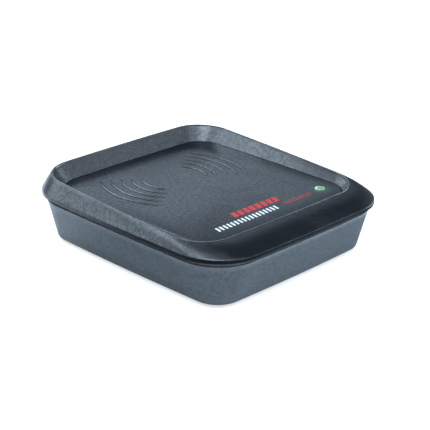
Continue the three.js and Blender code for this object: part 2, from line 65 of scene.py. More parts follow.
TABLE_BRIGHT_SIDE = (0.3, 0.95, 0)
NECK_HEIGHT = 4.4 * MM

low_case_low, low_case_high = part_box("lower_case")
SPLIT_Z = low_case_high.z - NECK_HEIGHT


def camera_axes():
    """The camera's right, up and backward directions, rolled a little about its line of sight."""
    az, el = VIEW_AZIMUTH, VIEW_ELEVATION
    back = Vector((math.sin(az) * math.cos(el), -math.cos(az) * math.cos(el), math.sin(el)))
    level = Vector((math.cos(az), math.sin(az), 0))
    upward = back.cross(level)
    right = level * math.cos(VIEW_ROLL) + upward * math.sin(VIEW_ROLL)
    return right, back.cross(right), back


def add_camera():
    right, up, back = camera_axes()
    data = bpy.data.cameras.new("camera")
    data.lens = VIEW_LENS
    data.sensor_width = VIEW_SENSOR
    data.shift_x, data.shift_y = VIEW_SHIFT
    camera = bpy.data.objects.new("camera", data)
    scene.collection.objects.link(camera)
    place = Vector((0, 0, SPLIT_Z)) + back * VIEW_DISTANCE
    turn = Matrix((right, up, back)).transposed().to_4x4()
    camera.matrix_world = Matrix.Translation(place) @ turn
    scene.camera = camera


def add_light(name, size, power, place, aim=PAD_MIDDLE):
    data = bpy.data.lights.new(name, "AREA")
    data.shape = "RECTANGLE"
    data.size, data.size_y = size
    data.energy = power
    data.color = COOL_WHITE
    lamp = bpy.data.objects.new(name, data)
    lamp.location = place
    lamp.rotation_euler = (Vector(aim) - Vector(place)).to_track_quat("-Z", "Y").to_euler()
    scene.collection.objects.link(lamp)


# Nodes are added and joined by these few helpers. Where one takes a value, that is either the
# socket it comes from or a plain number, vector or colour.
def add_node(tree, kind, **settings):
    """Adds a node; each setting is one of its inputs or, failing that, one of its properties."""
    node = tree.nodes.new(kind)
    for name, value in settings.items():
        if name in node.inputs:
            node.inputs[name].default_value = value
        else:
            setattr(node, name, value)
    return node


def feed(tree, value, socket):
    if isinstance(value, bpy.types.NodeSocket):
        tree.links.new(value, socket)
    else:
        socket.default_value = value


def ramp(tree, value, start, end, low=0.0, high=1.0, blend="LINEAR"):
    """Maps start to end onto low to high, and holds the value beyond either end."""
    node = add_node(tree, "ShaderNodeMapRange", interpolation_type=blend)
    labels = ("Value", "From Min", "From Max", "To Min", "To Max")
    for label, setting in zip(labels, (value, start, end, low, high)):
        feed(tree, setting, node.inputs[label])
    return node.outputs["Result"]


def maths(tree, operation, *values):
    node = add_node(tree, "ShaderNodeMath", operation=operation)
    for value, socket in zip(values, node.inputs):
        feed(tree, value, socket)
    return node.outputs[0]


def vector_maths(tree, operation, output, *values):
    node = add_node(tree, "ShaderNodeVectorMath", operation=operation)
    for value, socket in zip(values, node.inputs):
        feed(tree, value, socket)
    return node.outputs[output]


def object_place(tree):
    return add_node(tree, "ShaderNodeTexCoord").outputs["Object"]


def make_surroundings():
    """Walls that gloss mirrors as bands, brighter on one side; all other light finds them even."""
    world = bpy.data.worlds.new("studio")
    world.use_nodes = True
    tree = world.node_tree
    link = tree.links.new
    way = add_node(tree, "ShaderNodeTexCoord").outputs["Generated"]
    split = add_node(tree, "ShaderNodeSeparateXYZ")
    link(way, split.inputs[0])
    rise = add_node(tree, "ShaderNodeValToRGB")
    link(split.outputs["Z"], rise.inputs["Fac"])
    stops = rise.color_ramp.elements
    stops[0].position = WALL_FOOT
    stops[1].position = WALL_TOP
    for stop in stops:
        stop.color = (*DARK_WALL, 1)
    for height, level in WALL_BANDS:
        stops.new(height).color = (*[level * c for c in COOL_WHITE], 1)
    side = vector_maths(tree, "DOT_PRODUCT", "Value", way, BRIGHT_SIDE)
    banded = tree.nodes["Background"]
    link(rise.outputs["Color"], banded.inputs["Color"])
    link(ramp(tree, side, 0.0, 0.3, WALL_DIM, 1.0, "SMOOTHSTEP"), banded.inputs["Strength"])
    white = add_node(tree, "ShaderNodeBackground", Color=(1, 1, 1, 1))
    path = add_node(tree, "ShaderNodeLightPath")
    seen = add_node(tree, "ShaderNodeBackground", Color=(*PLAIN_WALL, 1))
    for ray, backdrop in (("Is Glossy Ray", banded), ("Is Camera Ray", white)):
        choice = add_node(tree, "ShaderNodeMixShader")
        link(path.outputs[ray], choice.inputs[0])
        link(seen.outputs[0], choice.inputs[1])
        link(backdrop.outputs[0], choice.inputs[2])
        seen = choice
    link(seen.outputs[0], tree.nodes["World Output"].inputs["Surface"])
    scene.world = world
    scene.view_settings.view_transform = "Standard"


def table_paint():
    """White paint; glossy rays see a pool of light painted on it just behind the pad. It is clear from below.
    """
    paint = bpy.data.materials.new("table_paint")
    paint.use_nodes = True
    tree = paint.node_tree
    link = tree.links.new
    shader = tree.nodes["Principled BSDF"]
    shader.inputs["Roughness"].default_value = 0.7
    shader.inputs["Emission Color"].default_value = (1, 1, 1, 1)
    place = object_place(tree)
    # Painted pool of light: glossy rays see the table bright just behind the pad and dim further off.
    behind = vector_maths(tree, "DOT_PRODUCT", "Value", place, TABLE_BRIGHT_SIDE)
    away = vector_maths(tree, "LENGTH", "Value", place)
    painted_light_pool = maths(tree, "MULTIPLY", ramp(tree, behind, -0.01, 0.07, 0.02, 0.7, "SMOOTHSTEP"),
                     ramp(tree, away, 0.3, 0.6, 1.0, 0.1, "SMOOTHSTEP"))
    path = add_node(tree, "ShaderNodeLightPath")
    tone = add_node(tree, "ShaderNodeMix")
    link(path.outputs["Is Glossy Ray"], tone.inputs[0])
    tone.inputs[2].default_value = 0.5
    link(painted_light_pool, tone.inputs[3])
    link(tone.outputs[0], shader.inputs["Base Color"])
    link(maths(tree, "MULTIPLY", path.outputs["Is Camera Ray"], 0.6), shader.inputs["Emission Strength"])
    choice = add_node(tree, "ShaderNodeMixShader")
    link(add_node(tree, "ShaderNodeNewGeometry").outputs["Backfacing"], choice.inputs[0])
    link(shader.outputs[0], choice.inputs[1])
    link(add_node(tree, "ShaderNodeBsdfTransparent").outputs[0], choice.inputs[2])
    link(choice.outputs[0], tree.nodes["Material Output"].inputs["Surface"])
    return paint


def add_table():
    """The table top is open under the pad, so that light reaches its base from below."""
    mesh = bpy.data.meshes.new("table_top")
    corners = []
    for half_x, half_y in (TABLE_HALF, TABLE_OPENING_HALF):
        corners += [(half_x * sx, half_y * sy, 0) for sx, sy in ((-1, -1), (1, -1), (1, 1), (-1, 1))]
    mesh.from_pydata(corners, [], [(k, (k + 1) % 4, (k + 1) % 4 + 4, k + 4) for k in range(4)])
    mesh.materials.append(table_paint())
    table = bpy.data.objects.new("table_top", mesh)
    scene.collection.objects.link(table)


add_camera()
add_light("back_panel", (1.15, 0.5), 7.4, (-0.12, 0.72, 0.72))
add_light("left_panel", (0.66, 0.42), 2.5, (-0.7, 0.84, 0.26))
add_light("ceiling_box", (0.65, 0.95), 6.8, (-0.45, 0.12, 0.88), aim=(-0.45, 0.12, 0))
add_light("overhead_box", (0.42, 0.42), 4.0, (-0.22, -0.22, 0.84))
add_light("right_panel", (0.6, 0.4), 1.3, (0.65, -0.58, 0.6))
add_light("corner_fill", (0.4, 0.36), 2.0, (0.14, -0.48, 0.77))
add_light("side_panel", (0.4, 0.24), 0.6, (0.92, -0.06, 0.3))
add_light("end_panel", (0.4, 0.26), 7.0, (0.88, -0.34, 0.16))
add_light("front_strip", (0.8, 0.22), 4.1, (0.16, -1.0, 0.13))
make_surroundings()
add_table()

# ----------------------------------------
# Lower case: the tub of the housing, injection-moulded in slate grey ABS with drafted walls, a
# rounded base edge, a thin neck that locates the upper case, and bosses for the case screws.
BOW = 1.05 * MM
WALL = 2.2 * MM
OVERHANG = 2.6 * MM
BASE_Z = low_case_low.z
CASE_HALF_X = low_case_high.x - BOW
CASE_HALF_Y = low_case_high.y - BOW
CASE_CORNER = 23.4 * MM
BASE_INSET = 7.0 * MM
BASE_CORNER = 13.5 * MM
NECK_INSET = 1.2 * MM
NECK_TOP = low_case_high.z
SMALLEST_CORNER = 2 * MM
CORNER_STEPS = 18
SIDE_STEPS = 12
AXIS_RADIUS = 1e-6
SHARP_CORNER = 1e-5


def outline(half_x, front, back, corner, z):
    """A closed plan outline, anticlockwise, with bowed sides; z is one height or (front, back)."""
    middle, half_y = (front + back) / 2, (back - front) / 2
    flat_x, flat_y = half_x - corner, half_y - corner
    signs = ((1, -1), (1, 1), (-1, 1), (-1, -1))
    points = []
    for quarter, (sx, sy) in enumerate(signs):
        start = -math.pi / 2 + quarter * math.pi / 2
        for k in range(CORNER_STEPS + 1):
            angle = start + k / CORNER_STEPS * math.pi / 2
            points.append((sx * flat_x + corner * math.cos(angle), sy * flat_y + corner * math.sin(angle)))
        nx, ny = signs[(quarter + 1) % 4]
        shift = (corner * math.cos(start + math.pi / 2), corner * math.sin(start + math.pi / 2))
        for k in range(1, SIDE_STEPS):
            t = k / SIDE_STEPS
            points.append((flat_x * (sx + (nx - sx) * t) + shift[0],
                           flat_y * (sy + (ny - sy) * t) + shift[1]))
    low, high = z if isinstance(z, tuple) else (z, z)
    ring = []
    for x, y in points:
        out_x = BOW * math.cos(math.pi / 2 * min(1, abs(y) / half_y)) * x / half_x
        out_y = BOW * math.cos(math.pi / 2 * min(1, abs(x) / half_x)) * y / half_y
        t = (y + half_y) / (2 * half_y)
        ring.append(Vector((x + out_x, y + out_y + middle, low + (high - low) * t)))
    return ring


def skin(name, rings, looped=False):
    """A closed surface over a stack of outlines; a stack that doesn't loop gets a cap at each end."""
    size = len(rings[0])
    points = [p for ring in rings for p in ring]
    faces = []
    for k in range(len(rings) if looped else len(rings) - 1):
        a, b = k * size, (k + 1) % len(rings) * size
        faces += [(a + i, a + (i + 1) % size, b + (i + 1) % size, b + i) for i in range(size)]
    if not looped:
        faces.append(tuple(reversed(range(size))))
        faces.append(tuple(range(len(points) - size, len(points))))
    return solid(name, points, faces)


def solid(name, points, faces):
    mesh = bpy.data.meshes.new(name)
    mesh.from_pydata([tuple(p) for p in points], [], faces)
    piece = bpy.data.objects.new(name, mesh)
    scene.collection.objects.link(piece)
    return piece


def turned(name, profile, centre, segments=48):
    """A solid turned about a vertical axis; profile is (radius, height) pairs from axis to axis."""
    turn = [2 * math.pi * i / segments for i in range(segments)]
    rings = []
    for radius, height in profile:
        r = max(radius, AXIS_RADIUS)
        rings.append([Vector((centre[0] + r * math.cos(a), centre[1] + r * math.sin(a), height))
                      for a in turn])
    return skin(name, rings)


def peg(name, steps, centre, segments=48):
    """A turned solid with flat ends; steps are (radius, height) pairs from the bottom up."""
    return turned(name, [(0, steps[0][1]), *steps, (0, steps[-1][1])], centre, segments)


def combine(target, others, operation):
    """Joins the other solids to the target, or cuts them from it, and removes them."""
    for other in others:
        step = target.modifiers.new("step", "BOOLEAN")
        step.operation = operation
        step.object = other
        step.solver = "EXACT"
    graph = bpy.context.evaluated_depsgraph_get()
    graph.update()
    result = bpy.data.meshes.new_from_object(target.evaluated_get(graph))
    target.modifiers.clear()
    target.data = result
    for other in others:
        bpy.data.objects.remove(other)
    return target


def smooth(piece, angle=32):
    """Smooth shading that keeps edges sharper than the angle crisp."""
    for face in piece.data.polygons:
        face.use_smooth = True
    piece.data.set_sharp_from_angle(angle=math.radians(angle))
    return piece


def fit_out(piece, material, slot, *nodes):
    """Gives a piece its finish, fixes it to the body and lets it stand for its CAD nodes."""
    piece.data.materials.clear()
    piece.data.materials.append(material)
    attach(piece, "root")
    if nodes:
        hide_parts(*nodes)


def lower_outline(rise, offset, z):
    """The tub's outline part of the way up its drafted wall, grown by an offset."""
    inset = BASE_INSET * (1 - rise)
    corner = BASE_CORNER + (CASE_CORNER - BASE_CORNER) * rise + offset
    half_y = CASE_HALF_Y - inset + offset
    return outline(CASE_HALF_X - inset + offset, -half_y, half_y, max(corner, SMALLEST_CORNER), z)


def rise_at(z):
    return (z - BASE_Z) / (SPLIT_Z - BASE_Z)


def lower_case_rings():
    """Outlines up the outside of the tub, over its neck and down the inside to the floor."""
    base_round = 2.4 * MM
    base_turn = math.radians(70)
    wall_reach = 0.95
    rings = []
    for k in range(8):
        angle = base_turn * k / 7
        z = BASE_Z + base_round * (1 - math.cos(angle))
        rings.append(lower_outline(rise_at(z), -base_round * (wall_reach - math.sin(angle)), z))
    for k in range(1, 6):
        z = BASE_Z + base_round + (SPLIT_Z - BASE_Z - base_round) * k / 6
        rings.append(lower_outline(rise_at(z), 0, z))
    edge = 0.5 * MM
    for k in range(5):
        angle = math.pi / 2 * k / 4
        z = SPLIT_Z - edge * (1 - math.sin(angle))
        rings.append(lower_outline(1, -edge * (1 - math.cos(angle)), z))
    neck_round = 0.3 * MM
    rings.append(lower_outline(1, -NECK_INSET, SPLIT_Z))
    rings.append(lower_outline(1, -NECK_INSET, NECK_TOP - neck_round))
    rings.append(lower_outline(1, -NECK_INSET - neck_round, NECK_TOP))
    inside = NECK_INSET + 1.4 * MM
    rings.append(lower_outline(1, -inside, NECK_TOP))
    rings.append(lower_outline(1, -inside, SPLIT_Z - 1.5 * MM))
    floor_z = BASE_Z + 2.4 * MM
    rings.append(lower_outline(rise_at(floor_z + MM), -WALL - 0.2 * MM, floor_z + MM))
    rings.append(lower_outline(rise_at(floor_z), -WALL - 1.2 * MM, floor_z))
    return rings


def centre_of(node):
    low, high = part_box(node)
    return (low.x + high.x) / 2, (low.y + high.y) / 2


CASE_SCREWS = [centre_of(f"case_screw_{i}") for i in range(1, 5)]
BOARD_SCREWS = [centre_of(f"board_screw_{i}") for i in range(1, 5)]
FEET = [centre_of(f"foot_{i}") for i in range(1, 5)]
FOOT_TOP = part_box("foot_1")[1].z
BOSS_TOP = SPLIT_Z - 8 * MM
BOSS_RADIUS = 4 * MM
POST_RADIUS = 3.2 * MM
ROOT_FLARE = 0.4 * MM
HEAD_BORE = 3.1 * MM
SHANK_BORE = 1.7 * MM
BOARD_PILOT = 1.3 * MM
FOOT_SEAT = 6.3 * MM
SOCKET_SLOT_HALF = (5.3 * MM, 3.3 * MM)
SOCKET_SLOT_CORNER = 1.6 * MM
LABEL_MARGIN = 0.3 * MM
LABEL_CORNER = 2 * MM
BOARD_LOW, BOARD_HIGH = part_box("main_board")
SOCKET_LOW, SOCKET_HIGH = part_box("usb_socket")
LABEL_LOW, LABEL_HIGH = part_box("rating_label")


def rounded_slab(name, low, high, radius, corner_steps=6, edge=0.0):
    """A slab with rounded corners and, if edge is given, softened top and bottom edges."""
    x0, y0, z0 = low
    x1, y1, z1 = high
    levels = [(0, z0), (0, z1)]
    if edge:
        levels = [(edge, z0), (edge * 0.3, z0 + edge * 0.3), (0, z0 + edge),
                  (0, z1 - edge), (edge * 0.3, z1 - edge * 0.3), (edge, z1)]
    rings = []
    for inset, z in levels:
        ring = []
        r = max(radius - inset, SHARP_CORNER)
        for quarter, (cx, cy) in enumerate(((x1, y0), (x1, y1), (x0, y1), (x0, y0))):
            sx, sy = (1 if cx == x1 else -1), (1 if cy == y1 else -1)
            px, py = cx - sx * (r + inset), cy - sy * (r + inset)
            for k in range(corner_steps + 1):
                angle = -math.pi / 2 + (quarter + k / corner_steps) * math.pi / 2
                ring.append(Vector((px + r * math.cos(angle), py + r * math.sin(angle), z)))
        rings.append(ring)
    return skin(name, rings)


def mouth(radius, chamfer):
    """Where a hole that is cut up from below opens through the base, with a small chamfer."""
    wide = radius + chamfer
    return [(wide, BASE_Z - MM), (wide, BASE_Z), (radius, BASE_Z + chamfer)]


def counterbore(centre):
    """A stepped hole for a case screw's head and shank, cut up into its boss."""
    step = BOSS_TOP - 3 * MM
    steps = [(HEAD_BORE, step), (SHANK_BORE, step), (SHANK_BORE, BOSS_TOP + MM)]
    return peg("bore", mouth(HEAD_BORE, 0.4 * MM) + steps, centre)


def socket_slot():
    half_x, half_z = SOCKET_SLOT_HALF
    slot = rounded_slab("socket_slot", (-half_x, -half_z, 0), (half_x, half_z, 20 * MM), SOCKET_SLOT_CORNER)
    middle = (SOCKET_LOW.z + SOCKET_HIGH.z) / 2
    place = Matrix.Translation((0, CASE_HALF_Y - 12 * MM, middle))
    slot.data.transform(place @ Matrix.Rotation(-math.pi / 2, 4, "X"))
    return slot


def make_lower_case():
    case = skin("lower_case_shell", lower_case_rings())
    floor_z = BASE_Z + 2 * MM
    boss = [(BOSS_RADIUS + ROOT_FLARE, floor_z), (BOSS_RADIUS, floor_z + 2 * MM), (BOSS_RADIUS, BOSS_TOP)]
    post = [(POST_RADIUS + ROOT_FLARE, floor_z), (POST_RADIUS, BOARD_LOW.z)]
    bosses = [peg("boss", boss, at) for at in CASE_SCREWS] + [peg("post", post, at) for at in BOARD_SCREWS]
    combine(case, bosses, "UNION")
    holes = [counterbore(at) for at in CASE_SCREWS]
    pilot = [(BOARD_PILOT, floor_z), (BOARD_PILOT, BOARD_HIGH.z)]
    holes += [peg("pilot", pilot, at, 24) for at in BOARD_SCREWS]
    seat = mouth(FOOT_SEAT, 0.3 * MM) + [(FOOT_SEAT, FOOT_TOP)]
    holes += [peg("foot_seat", seat, at) for at in FEET]
    label_seat_low = LABEL_LOW - Vector((LABEL_MARGIN, LABEL_MARGIN, MM))
    label_seat_high = LABEL_HIGH + Vector((LABEL_MARGIN, LABEL_MARGIN, 0))
    holes.append(rounded_slab("label_seat", label_seat_low, label_seat_high, LABEL_CORNER + LABEL_MARGIN))
    holes.append(socket_slot())
    return smooth(combine(case, holes, "DIFFERENCE"))


# This node group gives the fine grain that a spark-eroded mould leaves: a height for bump, and
# masks that vary the colour in small clouds and the gloss in broad smears from handling.
def add_group(name, inputs, outputs):
    group = bpy.data.node_groups.new(name, "ShaderNodeTree")
    for label, value in inputs:
        socket = group.interface.new_socket(label, in_out="INPUT", socket_type="NodeSocketFloat")
        socket.default_value = value
    for label in outputs:
        group.interface.new_socket(label, in_out="OUTPUT", socket_type="NodeSocketFloat")
    return group, group.nodes.new("NodeGroupInput"), group.nodes.new("NodeGroupOutput")


SMEARED = (0.42, 0.62)
RUBBED_AND_HIGHLIT = (0.51, 0.54)
HOLLOW = (0.45, 0.36)


def make_grain_group():
    tree, given, result = add_group("moulded_grain", [("Grain", 2200.0), ("Cloud", 60.0)],
                                    ["Height", "Mottle", "Handling"])
    link = tree.links.new
    place = object_place(tree)
    pits = add_node(tree, "ShaderNodeTexVoronoi", feature="SMOOTH_F1")
    fine = add_node(tree, "ShaderNodeTexNoise", Detail=3.0, Roughness=0.6)
    for texture in (pits, fine):
        link(place, texture.inputs["Vector"])
        link(given.outputs["Grain"], texture.inputs["Scale"])
    link(maths(tree, "ADD", pits.outputs["Distance"], fine.outputs["Fac"]), result.inputs["Height"])
    cloud = add_node(tree, "ShaderNodeTexNoise", Detail=5.0, Roughness=0.55)
    link(place, cloud.inputs["Vector"])
    link(given.outputs["Cloud"], cloud.inputs["Scale"])
    link(cloud.outputs["Fac"], result.inputs["Mottle"])
    smear = add_node(tree, "ShaderNodeTexNoise", Scale=26.0, Detail=2.0, Distortion=1.4)
    link(place, smear.inputs["Vector"])
    link(ramp(tree, smear.outputs["Fac"], *SMEARED), result.inputs["Handling"])
    return tree


# This second group finds sharp corners, which get a paler tone that is partly hand wear and partly a painted
# highlight, and hollows that hold dust.
def make_edge_group():
    tree, given, result = add_group("worn_and_highlit_edges", [("Break", 400.0)], ["Rubbed_and_highlit", "Dusty"])
    link = tree.links.new
    shape = add_node(tree, "ShaderNodeNewGeometry")
    breakup = add_node(tree, "ShaderNodeTexNoise", Detail=4.0, Roughness=0.6)
    link(object_place(tree), breakup.inputs["Vector"])
    link(given.outputs["Break"], breakup.inputs["Scale"])
    for label, bend in (("Rubbed_and_highlit", RUBBED_AND_HIGHLIT), ("Dusty", HOLLOW)):
        found = ramp(tree, shape.outputs["Pointiness"], *bend)
        link(maths(tree, "MULTIPLY", found, breakup.outputs["Fac"]), result.inputs[label])
    return tree


GRAIN = make_grain_group()
EDGES = make_edge_group()
DUST = (0.16, 0.16, 0.165)
DUST_COVER = 0.25
MOTTLE_DARK = 0.35
MOTTLE_LIGHT = 1.65
SPECKLED = (0.42, 0.58)
MOULDED_CLOUD = 540.0
MOULDED_BUMP = 0.8
SHEEN_ROUGHNESS = 0.24


def new_material(name):
    material = bpy.data.materials.new(name)
    material.use_nodes = True
    return material, material.node_tree, material.node_tree.nodes["Principled BSDF"]


def mix_colour(tree, factor, first, second):
    """A colour mix of sockets or plain colours; returns its output socket."""
    mix = add_node(tree, "ShaderNodeMix", data_type="RGBA")
    for index, value in ((0, factor), (6, first), (7, second)):
        feed(tree, (*value, 1) if isinstance(value, tuple) else value, mix.inputs[index])
    return mix.outputs[2]


def add_grain(tree, shader, size, cloud, strength, depth):
    """Grain of a size and depth in millimetres as the finish's bump; returns grain and bump."""
    grain = add_node(tree, "ShaderNodeGroup", node_tree=GRAIN)
    grain.inputs["Grain"].default_value = 1 / (size * MM)
    grain.inputs["Cloud"].default_value = cloud
    bump = add_node(tree, "ShaderNodeBump", Strength=strength, Distance=depth * MM)
    tree.links.new(grain.outputs["Height"], bump.inputs["Height"])
    tree.links.new(bump.outputs["Normal"], shader.inputs["Normal"])
    return grain, bump


def moulded_plastic(name, colour, edge_wear_and_highlight, gloss, grain_size, grain_depth, sheen, wear_and_highlight_from):
    """Grained moulded plastic: a colour, a paler tone on sharp edges above the given height that is partly
    wear and partly a painted highlight, gloss as (low, high) roughness, and a sheen that comes and goes in
    small speckles."""
    material, tree, shader = new_material(name)
    link = tree.links.new
    grain = add_grain(tree, shader, grain_size, MOULDED_CLOUD, MOULDED_BUMP, grain_depth)[0]
    mottle = grain.outputs["Mottle"]
    dark, light = (tuple(c * tone for c in colour) for tone in (MOTTLE_DARK, MOTTLE_LIGHT))
    shade = mix_colour(tree, mottle, dark, light)
    split = add_node(tree, "ShaderNodeSeparateXYZ")
    link(object_place(tree), split.inputs[0])
    wear_and_highlight_band = ramp(tree, split.outputs["Z"], wear_and_highlight_from - MM, wear_and_highlight_from, blend="SMOOTHSTEP")
    edges = add_node(tree, "ShaderNodeGroup", node_tree=EDGES)
    # Sharp edges above that height get the paler tone, partly hand wear and partly a painted highlight;
    # hollows get dust.
    for label, most, change in (("Rubbed_and_highlit", 1.0, edge_wear_and_highlight), ("Dusty", DUST_COVER, DUST)):
        mask = maths(tree, "MULTIPLY", wear_and_highlight_band, edges.outputs[label])
        shade = mix_colour(tree, ramp(tree, mask, 0.0, 1.0, 0.0, most), shade, change)
    link(shade, shader.inputs["Base Color"])
    link(ramp(tree, grain.outputs["Handling"], 0.0, 1.0, *gloss), shader.inputs["Roughness"])
    link(ramp(tree, mottle, *SPECKLED, 0.0, sheen), shader.inputs["Coat Weight"])
    shader.inputs["Coat Roughness"].default_value = SHEEN_ROUGHNESS
    return material, tree, shader


slate_plastic = moulded_plastic(
    "slate_case_plastic", (0.092, 0.107, 0.118), edge_wear_and_highlight=(0.2, 0.22, 0.24), gloss=(0.40, 0.50),
    grain_size=1.2, grain_depth=0.11, sheen=0.2, wear_and_highlight_from=BASE_Z + 2 * MM)[0]
fit_out(make_lower_case(), slate_plastic, "lower_case_plastic", "lower_case")

# ----------------------------------------
# Upper case: a charcoal ABS frame that drops over the neck of the tub. A short upright skirt, a
# convex slope up to a thin rim that is high at the back and low at the front, and sloping inner
# walls down to the ledge that carries the tray floor. Screw posts hang from the ledge.
PANEL_LOW, PANEL_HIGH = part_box("tray_panel")
PANEL_GAP = 0.3 * MM
FLOOR_Z = PANEL_LOW.z + 2 * MM
FLOOR_HALF_X = PANEL_HIGH.x + PANEL_GAP - BOW
FLOOR_BACK = PANEL_HIGH.y + PANEL_GAP - BOW
FLOOR_FRONT = PANEL_LOW.y - PANEL_GAP + BOW
FLOOR_CORNER = 13.1 * MM
SKIRT_BOTTOM = SPLIT_Z + 2.9 * MM
SKIRT_TOP = SPLIT_Z + 4.9 * MM
CREST_ROUND = 0.55 * MM
CREST_RISE = 0.15 * MM
RIM_BACK_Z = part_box("upper_case")[1].z - CREST_RISE
RIM_FRONT_Z = SPLIT_Z + 8.85 * MM
RIM_HALF_X = FLOOR_HALF_X + 7.8 * MM
RIM_BACK = FLOOR_BACK + 6.9 * MM
RIM_FRONT = FLOOR_FRONT - 2.6 * MM
RIM_CORNER = 20.5 * MM
TAPE_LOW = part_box("panel_tape")[0].z
LEDGE_WIDTH = 2.6 * MM
SLOPE_SWELL = 0.05
UPPER_POST_RADIUS = 3.2 * MM
UPPER_PILOT = 1.6 * MM


def between(a, b, t):
    return a + (b - a) * t


def tray_outline(t, offset, z):
    """An outline round the tray, from the floor's edge (t = 0) to the rim (t = 1)."""
    return outline(between(FLOOR_HALF_X, RIM_HALF_X, t) + offset,
                   between(FLOOR_FRONT, RIM_FRONT, t) - offset,
                   between(FLOOR_BACK, RIM_BACK, t) + offset,
                   between(FLOOR_CORNER, RIM_CORNER, t) + offset, z)


def slope_outline(t, z):
    """An outline on the outer slope, from the skirt (t = 0) to the rim (t = 1)."""
    skirt_x, skirt_y = CASE_HALF_X + OVERHANG, CASE_HALF_Y + OVERHANG
    return outline(between(skirt_x, RIM_HALF_X, t), between(-skirt_y, RIM_FRONT, t),
                   between(skirt_y, RIM_BACK, t), between(CASE_CORNER + OVERHANG, RIM_CORNER, t), z)


def slope_ring(t, sink=0.0):
    """A ring part of the way up the outer slope, swollen in proportion to the slope's local width."""
    foot = slope_outline(0, SKIRT_TOP)
    crest = slope_outline(1, (RIM_FRONT_Z, RIM_BACK_Z))
    ring = []
    for low, high in zip(foot, crest):
        width = Vector((high.x - low.x, high.y - low.y)).length
        point = low.lerp(high, t)
        point.z += width * SLOPE_SWELL * math.sin(math.pi * t) - sink
        ring.append(point)
    return ring


def slope_rings():
    """Up the skirt, over a small rounding and up the outer slope almost to the rim."""
    soft = 0.15 * MM
    foot_reach = 0.04
    slope_start = 0.02
    slope_reach = 0.95
    turn = math.radians(60)
    heights = (SKIRT_BOTTOM, SKIRT_BOTTOM + 0.2 * MM, SKIRT_BOTTOM + 0.6 * MM,
               SKIRT_TOP - soft - 0.2 * MM, SKIRT_TOP - soft)
    rings = [slope_outline(0, z) for z in heights]
    for k in range(1, 5):
        angle = turn * k / 4
        sink = soft * (1 - math.sin(angle) / math.sin(turn))
        rings.append(slope_ring(foot_reach * (1 - math.cos(angle)), sink))
    for k in range(1, 15):
        rings.append(slope_ring(slope_start + slope_reach * k / 14))
    return rings


def tray_rings():
    """Over the round crest of the rim and down the inner walls to the tray floor."""
    rings = []
    for k in range(7):
        angle = math.pi * k / 6
        up = CREST_RISE - CREST_ROUND * (1 - math.sin(angle))
        offset = CREST_ROUND * math.cos(angle) - CREST_ROUND
        rings.append(tray_outline(1, offset, (RIM_FRONT_Z + up, RIM_BACK_Z + up)))
    wall_drop = 0.25 * MM
    for k in range(1, 13):
        t = 1 - k / 12
        front = between(FLOOR_Z, RIM_FRONT_Z - wall_drop, t)
        back = between(FLOOR_Z, RIM_BACK_Z - wall_drop, t)
        rings.append(tray_outline(t, -2 * CREST_ROUND * t, (front, back)))
    return rings


def underside_rings():
    """Under the ledge that carries the floor, along the roof of the slope and down the skirt."""
    under = TAPE_LOW - 1.6 * MM
    roof = NECK_TOP + 0.3 * MM
    return [tray_outline(0, 0, TAPE_LOW),
            tray_outline(0, -LEDGE_WIDTH, TAPE_LOW),
            tray_outline(0, -LEDGE_WIDTH, under),
            tray_outline(0, 1.2 * MM, under),
            tray_outline(0.78, 0, (RIM_FRONT_Z - 2.9 * MM, RIM_BACK_Z - 3.6 * MM)),
            lower_outline(1, -4 * MM, roof),
            lower_outline(1, OVERHANG - WALL, roof),
            lower_outline(1, OVERHANG - WALL, SKIRT_BOTTOM)]


def make_upper_case():
    case = skin("upper_case_frame", slope_rings() + tray_rings() + underside_rings(), looped=True)
    post = [(UPPER_POST_RADIUS, BOSS_TOP + 0.3 * MM), (UPPER_POST_RADIUS + 0.3 * MM, TAPE_LOW - 0.6 * MM)]
    combine(case, [peg("post", post, at) for at in CASE_SCREWS], "UNION")
    pilot = [(UPPER_PILOT, BOSS_TOP), (UPPER_PILOT, TAPE_LOW - 2.6 * MM)]
    return smooth(combine(case, [peg("pilot", pilot, at, 24) for at in CASE_SCREWS], "DIFFERENCE"))


# The charcoal's pale edge tone is mostly a painted highlight along the rim's crest.
charcoal_plastic = moulded_plastic(
    "charcoal_case_plastic", (0.0040, 0.0050, 0.0068), edge_wear_and_highlight=(0.075, 0.082, 0.09), gloss=(0.28, 0.37),
    grain_size=1.0, grain_depth=0.09, sheen=0.36, wear_and_highlight_from=SPLIT_Z + 7.5 * MM)[0]
fit_out(make_upper_case(), charcoal_plastic, "upper_case_plastic", "upper_case")

# ----------------------------------------
# Tray floor: a separate dark grey panel, taped onto the ledge, with two fans of five raised arcs
# that show where to lay the card or sensor, and a round hole for the light.
WAVE_CENTRE = (-1.7 * MM, 24.2 * MM)
WAVE_RADII = [18.5 * MM, 24.2 * MM, 29.9 * MM, 35.7 * MM, 41.5 * MM]
WAVE_HALF_ANGLE = math.radians(37)
WAVE_WIDTH = 1.7 * MM
WAVE_HEIGHT = 0.55 * MM
LIGHT = centre_of("light_pipe")
LIGHT_RADIUS = 2.8 * MM
GLOW_REACH = 5 * MM
ABOVE_ALL = 1.0


def make_arc(radius, facing):
    """A low half-round bead along an arc, tapering almost to nothing at both ends."""
    steps, sides = 48, 10
    root = -0.3 * MM
    rings = []
    for i in range(steps + 1):
        t = i / steps
        angle = facing + WAVE_HALF_ANGLE * (2 * t - 1)
        taper = 0.15 + 0.85 * min(1, 6 * min(t, 1 - t)) ** 0.6
        ring = []
        for k in range(sides + 1):
            turn = math.pi * k / sides
            r = radius + WAVE_WIDTH / 2 * taper * math.cos(turn)
            up = root if k in (0, sides) else WAVE_HEIGHT * taper * math.sin(turn) ** 0.9
            ring.append(Vector((WAVE_CENTRE[0] + r * math.cos(angle),
                                WAVE_CENTRE[1] + r * math.sin(angle), FLOOR_Z + up)))
        rings.append(list(reversed(ring)))
    return skin("arc", rings)


